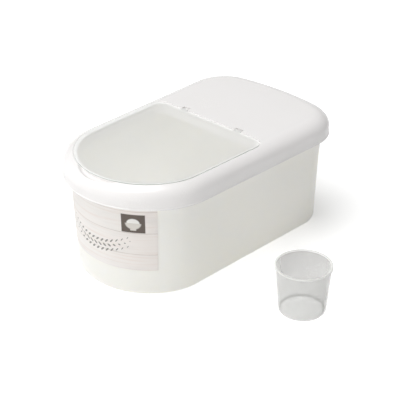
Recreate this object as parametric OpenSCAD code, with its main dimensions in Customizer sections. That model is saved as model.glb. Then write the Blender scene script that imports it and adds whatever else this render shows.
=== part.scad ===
// Rice bin: a deep D-shaped tub, a lift-off lid with a clear flip flap in its
// front half, the label round its front, and the measuring cup that goes with it.
// Millimetres, +Z up. The front of the bin faces -Y, and the origin lies on the
// floor under the middle of the lid.

/* [Lid outline] */
// Length of the lid from front to back
lid_length = 380; // [350:1:410]
// Width of the lid across its middle
lid_width = 225; // [212:1:240]
// How far each side leans in towards the front, in degrees
side_lean = 1.25; // [0.5:0.05:2.5]
// How far the round front turns each way before it runs into a side, in degrees
nose_turn = 60; // [50:1:70]
// Radius between the round front and a side
shoulder_r = 92; // [80:1:100]
// Radius of the two back corners
corner_r = 59; // [45:1:70]
// How far the bowed back edge turns each way, in degrees
back_turn = 9.8; // [6:0.1:14]

/* [Heights] */
// Height of the closed bin
bin_height = 161; // [140:1:220]
// Height of the lid from the bottom of its skirt to its top
skirt_height = 29; // [26:0.5:34]
// How far the tub's rim lies below the top of the lid
rim_drop = 12; // [11:0.5:15]

/* [Tub] */
// Wall of the tub
tub_wall = 2; // [1.5:0.1:3]
// Floor of the tub
tub_floor = 2.5; // [2:0.1:4]
// How far the foot of the tub stands in from the edge of the lid
foot_inset = 15.9; // [13:0.1:20]
// How far the tub's wall stands in from the edge of the lid, at its rim
neck_inset = 10.2; // [9:0.1:11]
// Radius of the edge round the foot
foot_r = 7; // [4:0.5:12]
// How far the rim turns down outside the wall
rim_turndown = 7; // [4:0.5:10]
// Thickness of the turned-down rim
rim_wall = 1.5; // [1:0.1:2]
// Chamfer along the rim's top edge
rim_chamfer = 1; // [0.8:0.1:1.5]

/* [Lid edge] */
// Wall of the lid
lid_wall = 2; // [1.6:0.1:2.5]
// Width of the rolled edge
roll_width = 22.7; // [21.5:0.1:26]
// Height of the rolled edge
roll_height = 18.25; // [15:0.25:22]
// How far the bead along the skirt's bottom stands out
bead_out = 0.6; // [0.3:0.1:1]
// Height of that bead
bead_height = 1.4; // [1:0.1:3]
// Gap between the skirt and the tub's rim
lid_play = 1.6; // [1.5:0.1:2.5]
// Thickness of the rib that seats the lid on the rim
seat_rib = 1.5; // [1:0.1:2]

/* [Opening] */
// How far the opening stands in from the edge of the lid
opening_inset = 21; // [20:0.1:24]
// How far behind the middle of the lid the opening ends
opening_back = 33.4; // [15:0.2:45]
// Radius of the opening's two back corners
opening_corner_r = 14; // [8:0.5:18]
// Depth of the collar round the opening, from the top of the lid
collar_depth = 17.3; // [10:0.1:24]

/* [Flap] */
// Thickness of the flap
flap_thickness = 1.8; // [1.5:0.1:2.2]
// How far the flap laps over the opening at its front and sides
flap_overlap = 5; // [3:0.1:5.5]
// How far the flap laps over the opening at its back
flap_back_overlap = 1.6; // [1:0.1:2]
// How much wider the flap's back corners are rounded than the opening's
flap_round = 3; // [1:0.5:5]
// How far the rib under the flap stands in from the opening's edge
flap_rib_gap = 2; // [1:0.1:3]
// Width of that rib
flap_rib_width = 1.2; // [0.8:0.1:2]
// Depth of that rib below the flap
flap_rib_depth = 1.4; // [0.8:0.1:2.5]
// Gap between the flap and the lid at its front and sides
flap_gap = 0.5; // [0.4:0.1:1]
// Gap between the flap and the lid behind it
hinge_gap = 1; // [0.9:0.1:1.4]

/* [Hinge] */
// Distance of each hinge lug from the middle of the flap
lug_place = 48; // [30:1:62]
// Width of a hinge lug
lug_width = 11; // [8:0.5:16]
// Gap on each side of a lug in its pocket, and below it
lug_play = 0.6; // [0.4:0.1:1]
// Gap behind a lug in its pocket, where its arm stands when the flap is open
lug_room = 1.3; // [1.2:0.1:1.8]
// Radius of a lug round its pin
lug_r = 2.4; // [2.2:0.1:2.6]
// Radius of the hinge pins
pin_r = 1.3; // [1:0.1:1.5]
// Gap between a pin and its socket
pin_play = 0.1; // [0.05:0.01:0.1]
// How far the hinge axis lies behind the flap's back edge
axis_back = 3.8; // [3.7:0.1:4.4]
// How far the hinge axis lies below the top of the lid
axis_drop = 2.6; // [2.4:0.1:2.8]
// Radius of the rounding along the deck's front edge
deck_round = 0.8; // [0.6:0.1:1]
// Wall of the pockets that hold the lugs
pocket_wall = 2; // [1.6:0.1:2.5]

/* [Finger notch] */
// Radius of the notch's floor
notch_floor_r = 39; // [34:1:44]
// How far the front of that floor stands in from the lid's front
notch_inset = 11.5; // [9:0.5:13]
// Depth of the notch, from the top of the lid
notch_depth = 7; // [5:0.5:9]
// Slope of the notch's wall, in degrees
notch_slope = 45; // [40:1:60]
// Thickness of the lip between the notch and the opening
notch_lip = 1.5; // [1:0.1:2]

/* [Label] */
// Width of the label, measured round the tub
label_width = 176; // [120:1:180]
// Height of the label's bottom edge above the floor
label_foot = 38.5; // [20:0.5:60]
// How far the label's top edge reaches up behind the lid's skirt
label_tuck = 2; // [0:0.5:4]
// Thickness of the label
label_thickness = 0.3; // [0.2:0.05:0.5]
// Thickness of the glue between the label and the tub
label_glue = 0.1; // [0.05:0.05:0.3]

/* [Measuring cup] */
// Height of the cup
cup_height = 65.6; // [50:0.1:90]
// Radius of the cup's rim
cup_rim_r = 36; // [33:0.1:45]
// Radius of the cup's foot
cup_foot_r = 30; // [24:0.1:32]
// Wall of the cup
cup_wall = 1.5; // [1.2:0.1:2.2]
// How far the band round the cup's rim stands out
cup_band_out = 1; // [0.6:0.1:1.5]
// Height of the band round the cup's rim
cup_band_height = 3.2; // [2:0.1:6]
// Radius of the edge round the cup's foot
cup_foot_edge = 6; // [4:0.5:10]
// How far the cup stands to the right of the bin's middle
cup_right = 226; // [200:1:260]
// How far the cup stands in front of the bin's middle
cup_front = 38.5; // [-60:0.5:120]

/* [Hidden] */
$fn = 96;
over = 1;            // how far a cut runs past the face that it opens
lap = 4;             // how far a piece runs into the plate that it joins
arc_step = 4;        // degrees between the points of a round edge
curve_steps = 6;     // steps round a rounded edge of the section
on_middle = 0.001;   // a point nearer to the middle plane than this lies on it

tub_colour = [0.93, 0.93, 0.89];
lid_colour = [0.97, 0.97, 0.96];
flap_colour = [0.86, 0.88, 0.86, 0.45];
label_colour = [0.89, 0.85, 0.79];
cup_colour = [0.90, 0.90, 0.88, 0.75];

// Where the arcs of the outline lie. Every outline of the bin is this one moved
// inwards, so the arcs keep their centres and lose the inset from their radii.
front_y = -lid_length / 2;
back_y = lid_length / 2;
side_reach = lid_width / 2 * cos(side_lean);
nose_end = nose_turn - 90;
nose_cos = cos(nose_end + side_lean);
nose_r = (side_reach + front_y * sin(side_lean) - shoulder_r * (1 - nose_cos))
    / (nose_cos - sin(side_lean));
nose_c = [0, front_y + nose_r];
shoulder_c = nose_c + (nose_r - shoulder_r) * [cos(nose_end), sin(nose_end)];
back_sin = sin(back_turn - side_lean);
back_r = (side_reach - corner_r * (1 - back_sin) + back_y * sin(side_lean))
    / (back_sin + sin(side_lean));
back_c = [0, back_y - back_r];
corner_c = back_c + (back_r - corner_r) * [sin(back_turn), cos(back_turn)];

// Heights that several pieces share
skirt_z = bin_height - skirt_height;
rim_z = bin_height - rim_drop;
ledge_z = bin_height - flap_thickness;
axis_z = bin_height - axis_drop;

// The back of the flap, the edge of the deck behind it, and the hinge axis
flap_back = opening_back + flap_back_overlap;
deck_front = flap_back + hinge_gap;
axis_y = flap_back + axis_back;
flap_inset = opening_inset - flap_overlap;
recess_inset = flap_inset - flap_gap;
flap_corner_r = opening_corner_r + flap_round;
recess_corner_r = flap_corner_r + flap_gap;

// The tub's wall leans out from the foot to the rim
draft = atan2(foot_inset - neck_inset, rim_z);
function wall_inset(z) = foot_inset - z * tan(draft);
function inner_inset(z) = wall_inset(z) + tub_wall / cos(draft);

// Centre of a D's back corner, for an outline moved in by inset that ends at back
function d_corner(inset, back, r) =
    [(side_reach - inset - r + sin(side_lean) * (back - r)) / cos(side_lean), back - r];

// Points along an arc, from one angle to another
function arc_points(c, r, from, to, steps) =
    [for (i = [0 : steps]) let (a = from + (to - from) * i / steps) c + r * [cos(a), sin(a)]];
function plan_arc(c, r, from, to) =
    arc_points(c, r, from, to, max(1, ceil(abs(to - from) / arc_step)));
function after_first(points) = [for (i = [1 : len(points) - 1]) points[i]];

// A whole outline from the points of its right half, front to back. Points on the
// middle plane are not repeated.
function whole(half) = concat(half,
    [for (i = [len(half) - 1 : -1 : 0]) if (half[i].x > on_middle) [-half[i].x, half[i].y]]);
function front_half(inset) = concat(
    plan_arc(nose_c, nose_r - inset, -90, nose_end),
    after_first(plan_arc(shoulder_c, shoulder_r - inset, nose_end, -side_lean)));
function lid_plan(inset) = whole(concat(front_half(inset),
    plan_arc(corner_c, corner_r - inset, -side_lean, 90 - back_turn),
    after_first(plan_arc(back_c, back_r - inset, 90 - back_turn, 90))));
function d_plan(inset, back, r) = whole(concat(front_half(inset),
    plan_arc(d_corner(inset, back, r), r, -side_lean, 90)));

// A closed shell through stations of [inset, height]. The first one closes it
// below and the last one closes it above, and each is the lid's outline moved in.
module shell(stations) {
    count = len(lid_plan(0));
    last = count * (len(stations) - 1);
    polyhedron(
        points = [for (s = stations) for (p = lid_plan(s[0])) [p.x, p.y, s[1]]],
        faces = concat(
            [[for (i = [0 : count - 1]) i]],
            [for (row = [0 : count : last - count]) for (i = [0 : count - 1])
                let (next = (i + 1) % count)
                [row + i, row + count + i, row + count + next, row + next]],
            [[for (i = [count - 1 : -1 : 0]) last + i]]));
}

module plate(points, low, high) {
    translate([0, 0, low]) linear_extrude(high - low) polygon(points);
}

// A section drawn at x = 0 on the nose, carried round it to half degrees each way
module round_nose(half) {
    translate(nose_c) rotate(-90 - half) rotate_extrude(angle = 2 * half)
        translate([nose_r, 0]) children();
}

module both_sides() {
    children();
    mirror([1, 0, 0]) children();
}

// ---- Tub ----

// Stations round the foot's edge, where the wall leans out above it
function foot_stations(inset, z, r, from, to) =
    arc_points([inset + r / cos(draft) - (z + r) * tan(draft), z + r], r, from, to, curve_steps);
rim_edge = bead_out + lid_wall + lid_play;

module bin_body() {
    color(tub_colour) shell(concat(
        foot_stations(foot_inset, 0, foot_r, 270, 180 + draft),
        [[wall_inset(rim_z - tub_wall), rim_z - tub_wall],
         [rim_edge + rim_wall, rim_z - tub_wall],
         [rim_edge + rim_wall, rim_z - rim_turndown],
         [rim_edge, rim_z - rim_turndown],
         [rim_edge, rim_z - rim_chamfer],
         [rim_edge + rim_chamfer, rim_z],
         [inner_inset(rim_z), rim_z]],
        foot_stations(foot_inset + tub_wall / cos(draft), tub_floor, foot_r - tub_wall,
            180 + draft, 270)));
}

// ---- Lid ----

// The rolled edge is a quarter of an ellipse, and its inner face lies one wall inside
roll_reach = roll_width - bead_out;
function roll_station(a, wall) = [roll_width - (roll_reach - wall) * cos(a),
    bin_height - roll_height + (roll_height - wall) * sin(a)];
function roll_stations(from, to, wall, steps) =
    [for (i = [0 : steps]) roll_station(from + (to - from) * i / steps, wall)];
function roll_angle(inset, wall) = acos((roll_width - inset) / (roll_reach - wall));

// The seating rib stands over the middle of the tub's rim
rib_inset = (rim_edge + inner_inset(rim_z) - seat_rib) / 2;

module lid_shell() {
    shell(concat(
        roll_stations(90, roll_angle(rib_inset + seat_rib, lid_wall), lid_wall, curve_steps),
        [[rib_inset + seat_rib, rim_z], [rib_inset, rim_z]],
        roll_stations(roll_angle(rib_inset, lid_wall), 0, lid_wall, curve_steps),
        [[bead_out + lid_wall, skirt_z], [0, skirt_z], [0, skirt_z + bead_height],
         [bead_out, skirt_z + bead_height + bead_out]],
        roll_stations(0, 90, 0, 2 * curve_steps)));
}

// A dish with a flat floor and a sloping wall, which is the hollow of the notch.
// The grown one is larger all round.
module notch_form(grow) {
    rise = notch_depth + grow + over;
    floor_r = notch_floor_r + grow * tan(notch_slope / 2);
    translate([0, front_y + notch_inset + notch_floor_r, bin_height - notch_depth - grow])
        cylinder(r1 = floor_r, r2 = floor_r + rise / tan(notch_slope), h = rise);
}

// The notch stops short of the opening, so that a lip stands between them
module notch_hollow() {
    difference() {
        notch_form(0);
        translate([nose_c.x, nose_c.y, bin_height - collar_depth])
            cylinder(r = nose_r - opening_inset + notch_lip, h = collar_depth + 2 * over);
    }
}

// The floor and wall under the notch, which end inside the wall of the rolled edge
module notch_dish() {
    wall = lid_wall / 2;
    intersection() {
        notch_form(lid_wall);
        round_nose(nose_turn) polygon(concat(
            [for (s = roll_stations(0, roll_angle(opening_inset, wall), wall, 2 * curve_steps))
                [-s[0], s[1]]],
            [[-opening_inset, bin_height - roll_height]]));
    }
}

pocket_back = axis_y + lug_r + lug_room;
pocket_floor = axis_z - lug_r - lug_play;
pocket_half = lug_width / 2 + lug_play;

// The box under the deck that holds one hinge lug
module pocket_box() {
    half = pocket_half + pocket_wall;
    low = pocket_floor - pocket_wall;
    translate([lug_place - half, opening_back, low])
        cube([2 * half, pocket_back + pocket_wall - opening_back, bin_height - lid_wall / 2 - low]);
}

// The room for one lug and the sockets of its two pins
module pocket_hollow() {
    translate([lug_place - pocket_half, flap_back - flap_gap, pocket_floor])
        cube([2 * pocket_half, pocket_back - flap_back + flap_gap, bin_height]);
    translate([lug_place, axis_y, axis_z]) rotate([0, 90, 0])
        cylinder(r = pin_r + pin_play, h = 2 * (pocket_half + pocket_wall) + over, center = true);
}

// The rounding along the deck's front edge, clear of the flap as it turns
module deck_rounding() {
    half = d_corner(recess_inset, deck_front, recess_corner_r).x;
    translate([-half, deck_front, bin_height]) rotate([90, 0, 90]) linear_extrude(2 * half)
        polygon(concat([[-over, over], [deck_round, over]],
            arc_points([deck_round, -deck_round], deck_round, 90, 180, curve_steps),
            [[-over, -deck_round]]));
}

module lid_frame() {
    collar_z = bin_height - collar_depth;
    color(lid_colour) difference() {
        union() {
            lid_shell();
            plate(d_plan(recess_inset - lid_wall / 2, deck_front + lid_wall / 2,
                recess_corner_r + lid_wall / 2), ledge_z - lid_wall, ledge_z);
            plate(d_plan(opening_inset - lid_wall, opening_back + lid_wall,
                opening_corner_r + lid_wall), collar_z, ledge_z);
            notch_dish();
            both_sides() pocket_box();
        }
        plate(d_plan(opening_inset, opening_back, opening_corner_r),
            collar_z - over, bin_height + over);
        plate(d_plan(recess_inset, deck_front, recess_corner_r), ledge_z, bin_height + over);
        notch_hollow();
        both_sides() pocket_hollow();
        deck_rounding();
    }
}

// ---- Flap ----

// One lug: an arm back from the flap, the barrel round the axis, and its pin
module lug() {
    translate([lug_place - lug_width / 2, flap_back - lap, ledge_z])
        cube([lug_width, lap + axis_back, bin_height - ledge_z]);
    translate([lug_place, axis_y, axis_z]) rotate([0, 90, 0]) {
        cylinder(r = lug_r, h = lug_width, center = true);
        cylinder(r = pin_r, h = 2 * (pocket_half + pocket_wall), center = true);
    }
}

// The outline of the opening, moved in by gap
function within_opening(gap) =
    d_plan(opening_inset + gap, opening_back - gap, opening_corner_r - gap);

// The rib that keeps the closed flap in the middle of the opening
module flap_rib() {
    low = ledge_z - flap_rib_depth;
    difference() {
        plate(within_opening(flap_rib_gap), low, ledge_z + flap_thickness / 2);
        plate(within_opening(flap_rib_gap + flap_rib_width), low - over, bin_height);
    }
}

module flip_flap() {
    color(flap_colour) {
        plate(d_plan(flap_inset, flap_back, flap_corner_r), ledge_z, bin_height);
        flap_rib();
        both_sides() lug();
    }
}

// ---- Label ----

label_top = skirt_z + label_tuck;
label_mid_r = nose_r - wall_inset((label_foot + label_top) / 2);
label_half = label_width / 2 / label_mid_r * 180 / PI;

// Two stations of the tub's wall, grown outwards
function wall_stations(low, high, grown) =
    [[wall_inset(low) - grown, low], [wall_inset(high) - grown, high]];

module front_label() {
    reach = 2 * lid_length;
    color(label_colour) intersection() {
        difference() {
            shell(wall_stations(label_foot, label_top, label_glue + label_thickness));
            shell(wall_stations(label_foot - over, label_top + over, label_glue));
        }
        plate([nose_c, nose_c + reach * [-sin(label_half), -cos(label_half)],
            nose_c + reach * [sin(label_half), -cos(label_half)]],
            label_foot - over, label_top + over);
    }
}

// ---- Measuring cup ----

cup_lean = atan2(cup_rim_r - cup_band_out - cup_foot_r, cup_height);

module cup_section() {
    outer_r = cup_foot_edge;
    inner_r = cup_foot_edge - cup_wall;
    outer_c = [cup_foot_r - outer_r / cos(cup_lean) + outer_r * tan(cup_lean), outer_r];
    inner_c = [outer_c.x, cup_wall + inner_r];
    band_z = cup_height - cup_band_height;
    rim_x = cup_rim_r - cup_band_out;
    round_r = cup_band_out / 2;
    polygon(concat(
        [[0, 0]],
        arc_points(outer_c, outer_r, -90, -cup_lean, curve_steps),
        [[cup_foot_r + band_z * tan(cup_lean), band_z], [cup_rim_r, band_z]],
        arc_points([cup_rim_r - round_r, cup_height - round_r], round_r, 0, 90, curve_steps),
        [[rim_x - cup_wall, cup_height]],
        arc_points(inner_c, inner_r, -cup_lean, -90, curve_steps),
        [[0, cup_wall]]));
}

module measuring_cup() {
    color(cup_colour) translate([cup_right, -cup_front, 0]) rotate_extrude() cup_section();
}

bin_body();
lid_frame();
flip_flap();
front_label();
measuring_cup();
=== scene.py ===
"""Looks of a rice bin: its tub, rolled-edge lid, clear flap, label and measuring cup.

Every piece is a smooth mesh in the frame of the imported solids, in metres, with the front of the
bin towards -Y. Sections are given as insets from the edge of the lid and heights above the floor.
"""

import logging
import math
from dataclasses import dataclass, field, replace
from enum import Enum
from functools import cached_property
from typing import Callable, Iterable, Sequence

import bmesh
import bpy
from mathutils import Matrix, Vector
from mathutils.geometry import delaunay_2d_cdt

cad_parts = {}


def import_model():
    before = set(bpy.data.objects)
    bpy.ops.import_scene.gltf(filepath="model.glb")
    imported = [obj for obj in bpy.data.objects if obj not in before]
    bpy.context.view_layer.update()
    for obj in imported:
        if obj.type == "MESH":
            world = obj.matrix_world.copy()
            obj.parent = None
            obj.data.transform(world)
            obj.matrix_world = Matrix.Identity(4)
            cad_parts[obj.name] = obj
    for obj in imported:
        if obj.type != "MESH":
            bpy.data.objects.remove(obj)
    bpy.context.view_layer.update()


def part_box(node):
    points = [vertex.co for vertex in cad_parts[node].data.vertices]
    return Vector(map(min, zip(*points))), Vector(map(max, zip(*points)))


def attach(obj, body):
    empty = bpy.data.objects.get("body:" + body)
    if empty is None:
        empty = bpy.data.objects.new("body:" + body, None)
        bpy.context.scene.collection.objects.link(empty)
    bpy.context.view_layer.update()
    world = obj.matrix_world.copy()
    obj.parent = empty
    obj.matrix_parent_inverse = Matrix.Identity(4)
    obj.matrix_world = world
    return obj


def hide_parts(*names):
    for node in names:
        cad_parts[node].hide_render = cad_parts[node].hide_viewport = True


LOG = logging.getLogger("rice_bin")
MM = 0.001
QUARTER_TURN = math.pi / 2

# Half angles within this of a right angle are no corner, so nothing is rounded there
STRAIGHT = 0.01
# Steps round each upright edge of a block, and sides of a rod
BLOCK_STEPS = 4
ROD_SIDES = 32
# Name of the layer that holds the places on the label's print
PRINT_MAP = "print"

Point = tuple[float, float]
Colour = tuple[float, float, float, float]
Height = Callable[[float, float], float]
Piece = bpy.types.Object
Socket = bpy.types.NodeSocket


# ---- Plan and section geometry ----


def arc(centre: Point, radius: float, start: float, end: float, steps: int) -> list[Point]:
    """Points along an arc.

    Args:
        centre: Middle of the arc.
        radius: Its radius.
        start: Angle of the first point, in radians.
        end: Angle of the last point, in radians.
        steps: Number of steps between them.

    Returns:
        The points, both ends included.
    """
    angles = [start + (end - start) * i / steps for i in range(steps + 1)]
    return [(centre[0] + radius * math.cos(a), centre[1] + radius * math.sin(a)) for a in angles]


def rounded(corners: Sequence[tuple[float, float, float]], steps: int = 4) -> list[Point]:
    """An open section line whose corners are rounded.

    Args:
        corners: Points as (inset, height, radius of the rounding there).
        steps: Steps round each corner.

    Returns:
        The points of the rounded line.
    """
    line: list[Point] = [corners[0][:2]]
    for before, here, after in zip(corners, corners[1:], corners[2:]):
        corner = Vector(here[:2])
        back = (Vector(before[:2]) - corner).normalized()
        ahead = (Vector(after[:2]) - corner).normalized()
        half = back.angle(ahead) / 2
        if here[2] <= 0 or half > QUARTER_TURN - STRAIGHT:
            line.append(here[:2])
            continue
        reach = here[2] / math.tan(half)
        centre = corner + (back + ahead).normalized() * (here[2] / math.sin(half))
        first = corner + back * reach - centre
        turn = first.angle_signed(corner + ahead * reach - centre)
        for i in range(steps + 1):
            a = -turn * i / steps
            spoke = (first.x * math.cos(a) - first.y * math.sin(a),
                     first.x * math.sin(a) + first.y * math.cos(a))
            line.append((centre.x + spoke[0], centre.y + spoke[1]))
    line.append(corners[-1][:2])
    return line


def soft_min(a: float, b: float, blend: float) -> float:
    """The lower of two heights, with a rounded crease of that width where they cross."""
    share = max(blend - abs(a - b), 0.0) / blend
    return min(a, b) - share * share * blend / 4


def mix(a: float, b: float, share: float) -> float:
    """The value that lies that share of the way from a to b."""
    return a + (b - a) * share


@dataclass(frozen=True)
class Steps:
    """How many steps each stretch of half an outline is cut into, front to back."""

    nose: int = 44
    shoulder: int = 12
    side_front: int = 8
    side_back: int = 8
    corner: int = 20
    back: int = 10

    @property
    def shared(self) -> int:
        """Index of the last point that the lid's outline shares with the D of the opening."""
        return self.nose + self.shoulder + self.side_front


@dataclass(frozen=True)
class DForm:
    """A D inside the lid's outline: its inset at the front and sides, its back edge and corners."""

    inset: float
    back: float
    corner_r: float

    def grown(self, by: float) -> "DForm":
        """The same D, larger all round."""
        return DForm(self.inset - by, self.back + by, self.corner_r + by)

    def towards(self, other: "DForm", share: float) -> "DForm":
        """The D that lies that share of the way to another one."""
        return DForm(mix(self.inset, other.inset, share), mix(self.back, other.back, share),
                     mix(self.corner_r, other.corner_r, share))


# What lid and flap share: the flap's recess, the opening below it, and the hinge. The hinge's
# place is given as (y, z), and its two lugs stand at HINGE_X to either side.
RECESS = DForm(0.0155, 0.036, 0.0175)
OPENING = DForm(0.021, 0.0334, 0.014)
HINGE: Point = (38.8 * MM, 158.4 * MM)
HINGE_X = 48 * MM


@dataclass(frozen=True)
class BinOutline:
    """Plan of the lid's edge as tangent arcs. Every other outline is this one moved inwards."""

    length: float = 0.380
    width: float = 0.225
    side_lean: float = math.radians(1.25)
    nose_turn: float = math.radians(60)
    shoulder_r: float = 0.092
    corner_r: float = 0.059
    back_turn: float = math.radians(9.8)
    split: DForm = RECESS

    @cached_property
    def side_reach(self) -> float:
        """Distance of the side's line from the bin's middle."""
        return self.width / 2 * math.cos(self.side_lean)

    @cached_property
    def nose_end(self) -> float:
        """Angle at which the round front runs into the shoulder."""
        return self.nose_turn - QUARTER_TURN

    @cached_property
    def nose_r(self) -> float:
        """Radius of the round front.

        Returns:
            The radius that makes front, shoulders and sides run into each other.
        """
        lean = math.sin(self.side_lean)
        turn = math.cos(self.nose_end + self.side_lean)
        reach = self.side_reach - self.length / 2 * lean - self.shoulder_r * (1 - turn)
        return reach / (turn - lean)

    @cached_property
    def nose_c(self) -> Point:
        """Centre of the round front."""
        return (0.0, self.nose_r - self.length / 2)

    @cached_property
    def shoulder_c(self) -> Point:
        """Centre of the arc between the round front and a side."""
        reach = self.nose_r - self.shoulder_r
        return (reach * math.cos(self.nose_end), self.nose_c[1] + reach * math.sin(self.nose_end))

    @cached_property
    def back_r(self) -> float:
        """Radius of the bowed back edge.

        Returns:
            The radius that makes back, corners and sides run into each other.
        """
        lean = math.sin(self.side_lean)
        turn = math.sin(self.back_turn - self.side_lean)
        reach = self.side_reach - self.corner_r * (1 - turn) + self.length / 2 * lean
        return reach / (turn + lean)

    @cached_property
    def back_c(self) -> Point:
        """Centre of the bowed back edge."""
        return (0.0, self.length / 2 - self.back_r)

    @cached_property
    def corner_c(self) -> Point:
        """Centre of the right back corner."""
        reach = self.back_r - self.corner_r
        return (reach * math.sin(self.back_turn), self.back_c[1] + reach * math.cos(self.back_turn))

    def along(self, point: Point) -> float:
        """How far back a point lies, measured along the right side."""
        return point[0] * math.sin(self.side_lean) + point[1] * math.cos(self.side_lean)

    def side_point(self, inset: float, along: float) -> Point:
        """A point of the right side's line.

        Args:
            inset: How far the line is moved in.
            along: How far back the point lies along it.

        Returns:
            The point.
        """
        across = self.side_reach - inset
        return (across * math.cos(self.side_lean) + along * math.sin(self.side_lean),
                along * math.cos(self.side_lean) - across * math.sin(self.side_lean))

    def d_corner(self, form: DForm) -> Point:
        """Centre of a D's right back corner.

        Args:
            form: The D.

        Returns:
            The centre.
        """
        y = form.back - form.corner_r
        reach = self.side_reach - form.inset - form.corner_r + math.sin(self.side_lean) * y
        return (reach / math.cos(self.side_lean), y)

    def _side(self, inset: float, start: float, end: float, steps: int) -> list[Point]:
        """Points along the right side after start, up to end."""
        return [self.side_point(inset, mix(start, end, i / steps)) for i in range(1, steps + 1)]

    def _front(self, inset: float, steps: Steps) -> list[Point]:
        """Right half of the round front and the shoulder.

        Args:
            inset: How far the outline is moved in.
            steps: How finely it is cut.

        Returns:
            The points, both ends included.
        """
        return (arc(self.nose_c, self.nose_r - inset, -QUARTER_TURN, self.nose_end, steps.nose)
                + arc(self.shoulder_c, self.shoulder_r - inset, self.nose_end, -self.side_lean,
                      steps.shoulder)[1:])

    @staticmethod
    def _whole(half: list[Point]) -> list[Point]:
        """A whole outline from its right half, whose two ends lie on the middle plane."""
        return half + [(-x, y) for x, y in reversed(half[1:-1])]

    def ring(self, inset: float, steps: Steps) -> list[Point]:
        """The lid's outline moved in.

        Args:
            inset: How far it is moved in.
            steps: How finely it is cut.

        Returns:
            The points of the closed outline, from the middle of the front anticlockwise.
        """
        middle = self.along(self.d_corner(self.split))
        turn = QUARTER_TURN - self.back_turn
        half = self._front(inset, steps)
        half += self._side(inset, self.along(self.shoulder_c), middle, steps.side_front)
        half += self._side(inset, middle, self.along(self.corner_c), steps.side_back)
        half += arc(self.corner_c, self.corner_r - inset, -self.side_lean, turn, steps.corner)[1:]
        half += arc(self.back_c, self.back_r - inset, turn, QUARTER_TURN, steps.back)[1:]
        return self._whole(half)

    def d_ring(self, form: DForm, steps: Steps) -> list[Point]:
        """The outline of a D, whose front and sides follow the lid's edge.

        Args:
            form: The D.
            steps: How finely it is cut.

        Returns:
            The points of the closed outline, from the middle of the front anticlockwise.
        """
        corner = self.d_corner(form)
        half = self._front(form.inset, steps)
        half += self._side(form.inset, self.along(self.shoulder_c), self.along(corner),
                           steps.side_front)
        half += arc(corner, form.corner_r, -self.side_lean, QUARTER_TURN, steps.corner)[1:]
        half += [(corner[0] * (1 - i / steps.back), form.back) for i in range(1, steps.back + 1)]
        return self._whole(half)

    def inset_of(self, x: float, y: float) -> float:
        """How far a point behind the shoulders lies inside the lid's edge.

        Args:
            x: Place of the point across the bin.
            y: Its place along the bin.

        Returns:
            Its distance from the edge.
        """
        point = (abs(x), y)
        side = self.side_reach - (point[0] * math.cos(self.side_lean)
                                  - point[1] * math.sin(self.side_lean))
        off_corner = Vector(point) - Vector(self.corner_c)
        turn = math.atan2(off_corner.y, off_corner.x)
        if -self.side_lean < turn < QUARTER_TURN - self.back_turn:
            return self.corner_r - off_corner.length
        return min(side, self.back_r - (Vector(point) - Vector(self.back_c)).length)


# ---- Mesh making ----


class Skin:
    """A mesh in the making, whose faces run between rings of points."""

    WELD = 1e-6

    def __init__(self) -> None:
        """Starts an empty skin."""
        self.mesh = bmesh.new()

    def loft(self, rings: Sequence[Sequence[Vector]]) -> None:
        """Joins closed rings of equal length, each to the next one.

        Args:
            rings: The rings, in order along the surface.
        """
        rows = [[self.mesh.verts.new(p) for p in ring] for ring in rings]
        for low, high in zip(rows, rows[1:]):
            for i in range(len(low)):
                j = (i + 1) % len(low)
                self.mesh.faces.new((low[i], low[j], high[j], high[i]))

    def cap(self, ring: Sequence[Vector]) -> None:
        """Closes a flat ring with one face."""
        self.mesh.faces.new([self.mesh.verts.new(p) for p in ring])

    def patch(self, edge: list[Point], inner: list[Point], height: Height) -> None:
        """Fills a region of the plan with triangles at a given height.

        Args:
            edge: The closed edge of the region.
            inner: Points inside it that the triangles pass through.
            height: The height of the surface at a point of the plan.
        """
        points = [Vector(p) for p in edge + inner]
        loop = list(range(len(edge)))
        flat, _, faces, *_ = delaunay_2d_cdt(points, [], [loop], 1, self.WELD / 10)
        verts = [self.mesh.verts.new((p.x, p.y, height(p.x, p.y))) for p in flat]
        for face in faces:
            self.mesh.faces.new([verts[i] for i in face])

    def finish(self, name: str) -> Piece:
        """Welds the skin and makes it an object.

        Args:
            name: Name of the object.

        Returns:
            The object, linked to the scene.
        """
        bmesh.ops.remove_doubles(self.mesh, verts=self.mesh.verts, dist=self.WELD)
        bmesh.ops.recalc_face_normals(self.mesh, faces=self.mesh.faces)
        data = bpy.data.meshes.new(name)
        self.mesh.to_mesh(data)
        self.mesh.free()
        piece = bpy.data.objects.new(name, data)
        bpy.context.scene.collection.objects.link(piece)
        return piece


def lifted(ring: Sequence[Point], z: float | Height) -> list[Vector]:
    """Lifts a ring of the plan.

    Args:
        ring: The ring.
        z: Its height, or a function that gives the height at each point.

    Returns:
        The lifted points.
    """
    if callable(z):
        return [Vector((x, y, z(x, y))) for x, y in ring]
    return [Vector((x, y, z)) for x, y in ring]


def closed_loft(name: str, rings: Sequence[Sequence[Vector]]) -> Piece:
    """Makes a closed piece that runs through rings, with a face at either end.

    Args:
        name: Name of the piece.
        rings: Its rings, in order along the surface.

    Returns:
        The piece.
    """
    skin = Skin()
    skin.loft(rings)
    skin.cap(rings[0])
    skin.cap(rings[-1])
    return skin.finish(name)


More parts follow.
